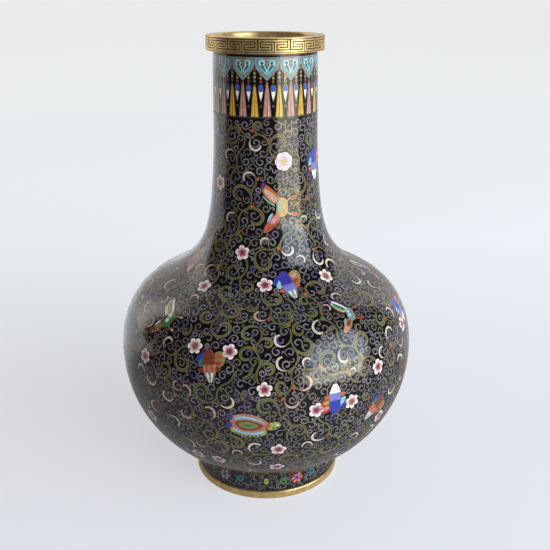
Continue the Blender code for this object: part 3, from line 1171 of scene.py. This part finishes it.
def lay_foot(field):
    """Lotuses, olive plaques, and green and teal scrolls."""
    middle = field.chart.length / 2 + 0.5
    flowers = [lotus("red"), lotus("green")]
    plaque = Stencil()
    plaque.patch([(-2.2, -2.6), (-1.6, 2.8), (1.8, 3), (2.2, -2.6)], "lime", passes=1)
    plaque.cell(oval(2, 2.4, count=10), "olive", 1)
    curl = scroll(3.0, 1.2, 0.75)
    for k in range(LOTUSES):
        angle = math.radians(FIRST_LOTUS) + TAU * k / LOTUSES
        field.stamp(flowers[k % 2], angle, middle)
        field.stamp(plaque, angle - math.radians(25), middle)
        field.stamp(curl, angle - math.radians(11), middle - 1, 1.0, palette={"scroll": "green"})
        field.stamp(curl, angle + math.radians(14), middle + 1, 3.4, palette={"scroll": "teal"})


# ---------------------------------------------------------------- pieces


def finish_piece(piece, slot, nodes=()):
    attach(piece, "root")
    if nodes:
        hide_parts(*nodes)


def object_from(name, positions, tones, quads, triangles, material, sharp=40):
    """A mesh object from arrays, with its tones kept as an attribute for the material."""
    mesh = bpy.data.meshes.new(name)
    corners = np.concatenate([quads.ravel(), triangles.ravel()]).astype(np.int32)
    starts = np.concatenate([np.arange(len(quads)) * 4, len(quads) * 4 + np.arange(len(triangles)) * 3])
    mesh.vertices.add(len(positions))
    mesh.vertices.foreach_set("co", positions.astype(np.float32).ravel())
    mesh.loops.add(len(corners))
    mesh.loops.foreach_set("vertex_index", corners)
    mesh.polygons.add(len(starts))
    mesh.polygons.foreach_set("loop_start", starts.astype(np.int32))
    mesh.attributes.new("tone", "FLOAT", "POINT").data.foreach_set("value", tones.astype(np.float32))
    mesh.update(calc_edges=True)
    mesh.shade_smooth()
    mesh.set_sharp_from_angle(angle=math.radians(sharp))
    mesh.materials.append(material)
    piece = bpy.data.objects.new(name, mesh)
    bpy.context.scene.collection.objects.link(piece)
    return piece


def turned(name, section, material, slot, node, tones=None, segments=SEGMENTS):
    """Spins a closed section, given in mm and anticlockwise, about the Z axis, in place of a CAD node."""
    section = np.array(section, float)
    n = len(section)
    on_axis = section[:, 0] < 1e-6
    angle = np.arange(segments)[:, None] * TAU / segments
    out, up = (section * MM).T
    ring = [out * np.sin(angle), -out * np.cos(angle), np.broadcast_to(up, (segments, n))]
    a, b = (index.ravel() for index in np.meshgrid(np.arange(segments), np.arange(n), indexing="ij"))
    c, d = (a + 1) % segments, (b + 1) % n
    quads = np.stack([a * n + b, c * n + b, c * n + d, a * n + d], -1)[~(on_axis[b] & on_axis[d])]
    tones = np.tile(np.ones(n) if tones is None else np.array(tones, float), segments)
    no_triangles = np.empty((0, 3), int)
    piece = object_from(name, np.stack(ring, -1).reshape(-1, 3), tones, quads, no_triangles, material)
    if on_axis.any():
        weld(piece)
    finish_piece(piece, slot, [node])


def weld(piece):
    """Joins the points that coincide on the axis."""
    mesh = bmesh.new()
    mesh.from_mesh(piece.data)
    bmesh.ops.remove_doubles(mesh, verts=mesh.verts, dist=1e-6)
    bmesh.ops.dissolve_degenerate(mesh, edges=mesh.edges, dist=1e-7)
    mesh.to_mesh(piece.data)
    mesh.free()


def make_pieces(field, paints, named):
    """One piece for each layer of stamped cells. named turns the layer's name into the piece's."""
    for layer in sorted(field.layers):
        kind = layer.split(".")[0]
        points, tones, quads, triangles = field.layers.pop(layer).joined()
        piece = object_from(named(layer), field.chart.place(points), tones, quads, triangles, paints[kind])
        finish_piece(piece, "gilt_brass" if "wire" in kind else "black_enamel")


# ---------------------------------------------------------------- rims and rings

KEY_PAIRS = 12
KEY_ROWS = (1.8, 3.63, 5.45, 7.3, 9.13)  # mm below the top of the rim
KEY_HALF = 0.53
KEY_DEPTH = 0.32
KEY_START = 9.1  # degrees from the front
JOINT = 0.27  # filled at either side of a ring wire


def key_path(radius, height):
    """The fret: one endless band that winds inwards and out again, mirrored in every pair."""
    unit = TAU / KEY_PAIRS / 24  # one 24th of a pair's width
    one, two, three, four, five = (height - row for row in KEY_ROWS)
    coil = [
        (10.9, one), (10.9, four), (2.9, four), (2.9, three),
        (8.9, three), (8.9, two), (0.9, two), (0.9, five),
    ]
    pair = coil + [(24 - x, z) for x, z in reversed(coil)]
    start = math.radians(KEY_START)
    corners = [(start + (x + 24 * k) * unit, z) for k in range(KEY_PAIRS) for x, z in pair]
    path = []
    for (a, z), (b, y) in zip(corners, corners[1:] + [(corners[0][0] + TAU, corners[0][1])]):
        steps = max(1, math.ceil(abs(b - a) * radius / 1.2))
        path += [(a + (b - a) * k / steps, z + (y - z) * k / steps) for k in range(steps)]
    return np.array(path)


def build_rim(material):
    """The mouth rim: a ring with a groove round its outside, and the fret that stands in the groove."""
    low, high = (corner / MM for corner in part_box("mouth_rim"))
    radius, bottom, top = high.x, low.z, high.z
    bore = inner_radius("mouth_rim")
    seat = bore + 2.1
    floor = radius - KEY_DEPTH
    # (radius, height, tone), anticlockwise from the seat; the tone is low, for painted shade, in the groove
    # and a little under the rim
    corners = [
        (seat, bottom + 4, 1), (seat, bottom + 0.02, 0.6), (radius - 0.35, bottom + 0.02, 0.8),
        (radius - 0.08, bottom + 0.12, 1), (radius, bottom + 0.35, 1), (radius, bottom + 0.8, 1),
        (floor, bottom + 0.92, 0), (floor, bottom + 1.2, 0), (floor, top - 1.0, 0), (floor, top - 0.72, 0),
        (radius, top - 0.6, 1), (radius, top - 0.3, 1), (radius - 0.08, top - 0.12, 1),
        (radius - 0.3, top - 0.02, 1), (radius - 0.7, top, 1), (bore + 1.2, top, 1),
        (bore + 0.55, top - 0.15, 1), (bore + 0.16, top - 0.5, 1), (bore, top - 1.1, 1),
        (bore, bottom + 5, 1), (bore, bottom + 4, 0.8),
    ]
    section, tones = [corner[:2] for corner in corners], [corner[2] for corner in corners]
    turned("mouth_rim_body", section, material, "gilt_brass", "mouth_rim", tones)
    fret = Mesh()
    path = key_path(radius, top)
    chart = Chart([(radius, bottom), (radius, top)])
    path[:, 1] -= bottom
    flat = np.array([radius, 1.0])
    # the fret's tone falls from 1 on top to 0 at its foot: painted shade at its root in the groove
    bar(fret, path * flat, KEY_HALF, 0.0, -KEY_DEPTH - 0.05, 0.12, (1.0, 0.0))
    points, tones, quads, triangles = fret.joined()
    points /= np.array([radius, 1.0, 1.0])
    piece = object_from("mouth_rim_fret", chart.place(points), tones, quads, triangles, material, 30)
    finish_piece(piece, "gilt_brass")


def build_foot_rim(material):
    """A plain ring with a softened edge, and a fence up to the foot's enamel."""
    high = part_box("foot_rim")[1] / MM
    radius, top = high.x, high.z
    bore = inner_radius("foot_rim")
    fence, ledge = radius - 1.9, 2.8
    corners = [
        (bore, 0), (bore + 0.3, 0), (radius - 0.8, 0), (radius - 0.3, 0.12), (radius - 0.05, 0.5),
        (radius, 1.1), (radius, top - 1.0), (radius - 0.06, top - 0.45), (radius - 0.3, top - 0.1),
        (radius - 0.7, top), (fence, top), (fence, ledge), (bore, ledge),
    ]
    # lower tones at the fence and the ledge inside the ring: painted shade
    tones = [0.7, 1, 1, 1, 1, 1, 1, 1, 1, 0.9, 0.45, 0.6, 0.6]
    turned("foot_rim_ring", corners, material, "gilt_brass", "foot_rim", tones)


def ring_wire(name, node, material):
    """A ring wire with softened edges, in place of its CAD ring. Its root fills the joints beside it."""
    low, high = (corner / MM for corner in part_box(node))
    bottom, top, outer = low.z, high.z, high.x
    edge = (top - bottom) * 0.3
    root, back = outer - edge - 0.02, outer - 0.85
    corners = [
        (back, bottom - JOINT), (root, bottom - JOINT), (root, bottom), (outer - edge, bottom),
        (outer - edge * 0.3, bottom + edge * 0.3), (outer, bottom + edge), (outer, top - edge),
        (outer - edge * 0.3, top - edge * 0.3), (outer - edge, top), (root, top), (root, top + JOINT),
        (back, top + JOINT),
    ]
    turned(name, corners, material, "gilt_brass", node, segments=256)


# ---------------------------------------------------------------- assembly


def ground(name, chart, low, high, count, back_count, material, node):
    """The sheet of dark enamel that a field's cells are set in, between two distances."""
    face = chart.section(low, high, GROUND, count)
    back = chart.section(low, high, GROUND_BACK, back_count)
    turned(name, [*face, *back[::-1]], material, "black_enamel", node)


def build_lining(body, material):
    """Turquoise enamel all over the inside and under the bottom."""
    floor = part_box("lining_enamel")[0].z / MM
    corner = float(body.radius(0)) - 4
    start, front, back, thick = 1.5, -2.85, -3.2, 0.5
    lining = [(0, floor), (corner, floor), *body.section(start, body.length, front, 90)]
    lining += body.section(start, body.length, back, 60)[::-1]
    lining += [(corner - thick, floor + thick), (0, floor + thick)]
    turned("inner_lining", lining, material, "counter_enamel", "lining_enamel", segments=160)
    low, high = (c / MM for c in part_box("base_enamel"))
    disc = [(0, low.z), (high.x - 0.6, low.z), (high.x, low.z + 0.3), (high.x, high.z), (0, high.z)]
    turned("base_underside", disc, material, "counter_enamel", "base_enamel", segments=128)


def coat(nodes, material):
    """Gives CAD nodes that are shown as they are their material."""
    for name in nodes:
        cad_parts[name].data.materials.clear()
        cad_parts[name].data.materials.append(material)


def decorate_body(body, low, high, paints, dice):
    """Motifs, vines and scrolls of the main field. Scrolls are split into bands, front and back."""
    main = Field(body)
    lay_motifs(main, low, high, dice)
    make_pieces(main, paints, lambda layer: "field_" + ("motif_wire" if layer == "wire" else layer))
    lay_vines(main, low, high, dice)
    make_pieces(main, paints, lambda layer: "field_" + ("bud_wire" if layer == "wire" else layer))

    starts = {"belly": 75, "waist": 124, "shoulder": 165, "neck": 215}  # mm of height
    bands = [("foot_side", 0), *[(name, body.at_height(height)) for name, height in starts.items()]]

    def part_of(angle, s):
        band = [name for name, start in bands if s >= start][-1]
        return f".{band}_{'front' if math.cos(angle) > 0 else 'back'}"

    def scroll_name(layer):
        kind, part = layer.split(".")
        return ("scroll_wires_" if kind == "wire" else "scrolls_") + part

    lay_scrolls(main, low, high, dice, part_of)
    make_pieces(main, paints, scroll_name)


def build():
    dice = random.Random(7)
    outline = [*outer_stations("field_enamel"), outer_stations("border_enamel")[-1]]
    body = Chart(cubic_through(outline, 1400))
    field_top = body.at_height(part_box("field_enamel")[1].z / MM)
    border_low = body.at_height(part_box("border_enamel")[0].z / MM)
    foot = Chart(outer_stations("foot_enamel"))

    gold = gilt("gilt_rim")
    wire_gold = gilt("gilt_wire", (168, 144, 112), (122, 102, 76), rough=(0.25, 0.4))
    # the ring wires' gold is dulled to a dim, half-metal brown grey: painted shade, for the rim's shadow on
    # the top ring
    shaded_ring_gold = gilt("gilt_ring", (108, 98, 80), (74, 66, 52), rough=(0.35, 0.5), metal=0.5)
    black = enamel("black_enamel", (16, 15, 18), 0.3)
    green_black = enamel("foot_black_enamel", (14, 18, 17), 0.3)
    turquoise = enamel("counter_enamel", (86, 158, 164), 0.6)
    paints = {name: enamel("enamel_" + name, shades, PITS.get(name, 0.5)) for name, shades in PAINTS.items()}
    paints["wire"] = paints["vine_wire"] = wire_gold

    ground("field_ground", body, 0, field_top, 200, 30, black, "field_enamel")
    ground("border_ground", body, border_low, body.length, 12, 4, black, "border_enamel")
    ground("foot_ground", foot, 0, foot.length, 8, 3, green_black, "foot_enamel")
    build_rim(gold)
    build_foot_rim(gold)
    for place in ("border_top", "border_bottom", "foot_top", "foot_bottom"):
        ring_wire(place + "_ring", place + "_wire", shaded_ring_gold)
    build_lining(body, turquoise)

    border = Field(body)
    lay_border(border, body.length)
    make_pieces(border, paints, lambda layer: "border_" + layer)
    decorate_body(body, 3.0, field_top - 0.6, paints, dice)
    base = Field(foot)
    lay_foot(base)
    lay_scrolls(base, 0.6, foot.length - 0.3, dice, lambda angle, s: ".small", (2.1, 1.8, 1.5, 1.25), 0.36)
    make_pieces(base, paints, lambda layer: "foot_" + layer.replace(".", "_"))

    sheets = ("neck_shell", "shoulder_shell", "belly_shell", "base_plate", "foot_ring")
    coat(sheets, copper("copper", (206, 130, 96), (150, 84, 58)))
    seams = ("neck_seam_braze", "belly_seam_braze", "foot_seam_braze", "base_seam_braze")
    coat(seams, copper("braze", (206, 196, 168), (150, 138, 110)))


# ---------------------------------------------------------------- stage

# Brightness of the room as the vase mirrors it
FRONT_ROOM = 0.05
SIDE_ROOM = 1.9
BACK_ROOM = 0.8
CEILING = 0.2  # overhead, compared with the wall below
RIGHT_SHARE = 0.55  # the room's right side, compared with its left
AMBIENT = 0.31  # its even light on everything
BACKDROP = 0.93  # as the camera sees it
FLOOR_GLOW = [(0.0, (190, 191, 195)), (0.1, (194, 195, 198)), (0.3, (210, 213, 216)), (1.0, (217, 219, 219))]
FLOOR_HALF = 30.0  # metres
WINDOW_BLUE = (0.62, 0.8, 1.0)
PALE_BLUE = (0.7, 0.84, 1.0)
STRAW = (0.98, 0.97, 0.78)
PALE_GREEN = (0.92, 1.0, 0.9)
WARM_WHITE = (1.0, 0.97, 0.93)


def add_floor():
    """A pale sheet that glows a little, so that the shadow on it stays faint. The vase mirrors it dimly."""
    made = Paint("pale_floor")
    place = made.add("ShaderNodeSeparateXYZ", {0: made.spot})
    reach = made.add("ShaderNodeVectorMath", {0: made.spot}, operation="LENGTH")
    # near, behind and aside set how bright the floor is in the rays that the vase mirrors and in the light it
    # sends back: painted shade, dim far off in front, brighter close to the vase and behind on the left; the
    # camera sees it at full brightness
    near = made.mapped(reach.outputs["Value"], 0.42, 0.06, 0.4, 1.0)
    behind = made.mapped(place.outputs["Y"], 0.0, 1.2, 0.0, 0.25)
    aside = made.mapped(place.outputs["X"], 1.1, 0.65, -0.2, 0.25)
    shown = made.calculated("MAXIMUM", near, made.calculated("MULTIPLY", behind, aside))
    camera = made.add("ShaderNodeLightPath").outputs["Is Camera Ray"]
    mirrored = made.calculated("MULTIPLY", shown, made.mapped(camera, 1.0, 0.0))
    shown = made.calculated("MAXIMUM", mirrored, camera)
    tint = made.blotched(made.noise(900.0, 2.0), (150, 151, 156), (156, 157, 161))
    made.feed("Base Color", made.valued(tint, shown))
    made.feed("Roughness", made.mapped(made.noise(40.0, 2.0), 0.75, 0.85))
    made.feed("Specular IOR Level", made.mapped(made.noise(40.0, 2.0), 0.1, 0.2))
    depth = made.mapped(place.outputs["Y"], 0.0, 1.0, -0.2, 2.6)
    made.feed("Emission Color", made.ramp(depth, FLOOR_GLOW))
    made.feed("Emission Strength", shown)
    mesh = bpy.data.meshes.new("floor")
    corners = [(x * FLOOR_HALF, y * FLOOR_HALF, 0) for x, y in ((-1, -1), (1, -1), (1, 1), (-1, 1))]
    mesh.from_pydata(corners, [], [(0, 1, 2, 3)])
    mesh.materials.append(made.material)
    floor = bpy.data.objects.new("floor", mesh)
    floor.location.z = -0.0002
    bpy.context.scene.collection.objects.link(floor)


def add_room():
    """A room, mirrored in the vase, that is bright behind it and dim overhead and on the camera's side."""
    world = bpy.data.worlds.new("room")
    world.use_nodes = True
    bpy.context.scene.world = world
    made = Nodes(world.node_tree)

    def eased(value, start, end, low, high):
        return made.mapped(value, low, high, start, end, interpolation_type="SMOOTHSTEP")

    facing = made.add("ShaderNodeTexCoord").outputs["Generated"]
    x, y, z = made.add("ShaderNodeSeparateXYZ", {0: facing}).outputs
    level = made.calculated("SUBTRACT", 1.0, made.calculated("POWER", z, 2.0))
    flat = made.calculated("SQRT", made.calculated("MAXIMUM", level, 0.0001))
    side = made.calculated("SUBTRACT", made.calculated("DIVIDE", y, flat), eased(x, -0.2, 0.4, 0.0, 0.2))
    wall = eased(side, 0.3, 0.46, FRONT_ROOM, SIDE_ROOM)
    beyond = eased(side, 0.55, 0.8, 0.0, SIDE_ROOM - BACK_ROOM)
    walls = made.calculated("SUBTRACT", wall, beyond)
    walls = made.calculated("MULTIPLY", walls, eased(x, 0.0, 0.5, 1.0, RIGHT_SHARE))
    light = made.calculated("MULTIPLY", walls, eased(z, 0.6, 0.85, 1.0, CEILING))
    path = made.add("ShaderNodeLightPath").outputs
    lit = made.mixed(path["Is Glossy Ray"], AMBIENT, light, "FLOAT")
    background = made.tree.nodes["Background"].inputs
    background["Color"].default_value = (1.0, 1.0, 1.0, 1)
    made.put(made.mixed(path["Is Camera Ray"], lit, BACKDROP, "FLOAT"), background["Strength"])


def add_softbox(name, degrees, distance, height, size, tilt, radiance, colour, mirrored=True):
    """An area light at an angle from the front, facing the vase's axis."""
    width, tall = size
    light = bpy.data.lights.new(name, "AREA")
    light.shape = "RECTANGLE"
    light.size, light.size_y = width, tall
    light.energy = radiance * math.pi * width * tall
    light.color = colour
    lamp = bpy.data.objects.new(name, light)
    turn = math.radians(degrees)
    lamp.location = (distance * math.sin(turn), -distance * math.cos(turn), height)
    lamp.rotation_euler = (math.radians(90 - tilt), 0, turn)
    lamp.visible_camera = False
    lamp.visible_glossy = mirrored
    bpy.context.scene.collection.objects.link(lamp)


def add_camera():
    """Stands a little above the rim and looks down on the vase, with a normal lens."""
    tall = CAD_BOX[1][2] - CAD_BOX[0][2]
    down = math.radians(20.88)
    camera = bpy.data.cameras.new("camera")
    camera.lens = 49.8
    camera.sensor_width = 36.0
    camera.clip_end = 200
    eye = bpy.data.objects.new("camera", camera)
    eye.location = (0.02 * tall, -1.6073 * tall, 1.0933 * tall)
    eye.rotation_euler = (math.radians(90) - down, 0, 0)
    bpy.context.scene.collection.objects.link(eye)
    bpy.context.scene.camera = eye


def build_stage():
    add_floor()
    add_room()
    add_softbox("window", 58, 2.4, 0.9, (2.3, 1.35), 6, 4.4, WINDOW_BLUE)
    add_softbox("high_window", 64, 2.4, 1.95, (2.0, 0.7), 34, 2.8, PALE_BLUE)
    add_softbox("low_window", 50, 1.2, 0.165, (1.1, 0.28), 0, 3.6, STRAW)
    add_softbox("table_light", 50, 0.8, 0.055, (0.62, 0.1), 0, 5.4, PALE_GREEN)
    add_softbox("fill", 34, 2.4, 1.3, (1.6, 1.4), 24, 4.4, WARM_WHITE, mirrored=False)
    add_camera()
    bpy.context.scene.view_settings.view_transform = "Standard"


build()
build_stage()
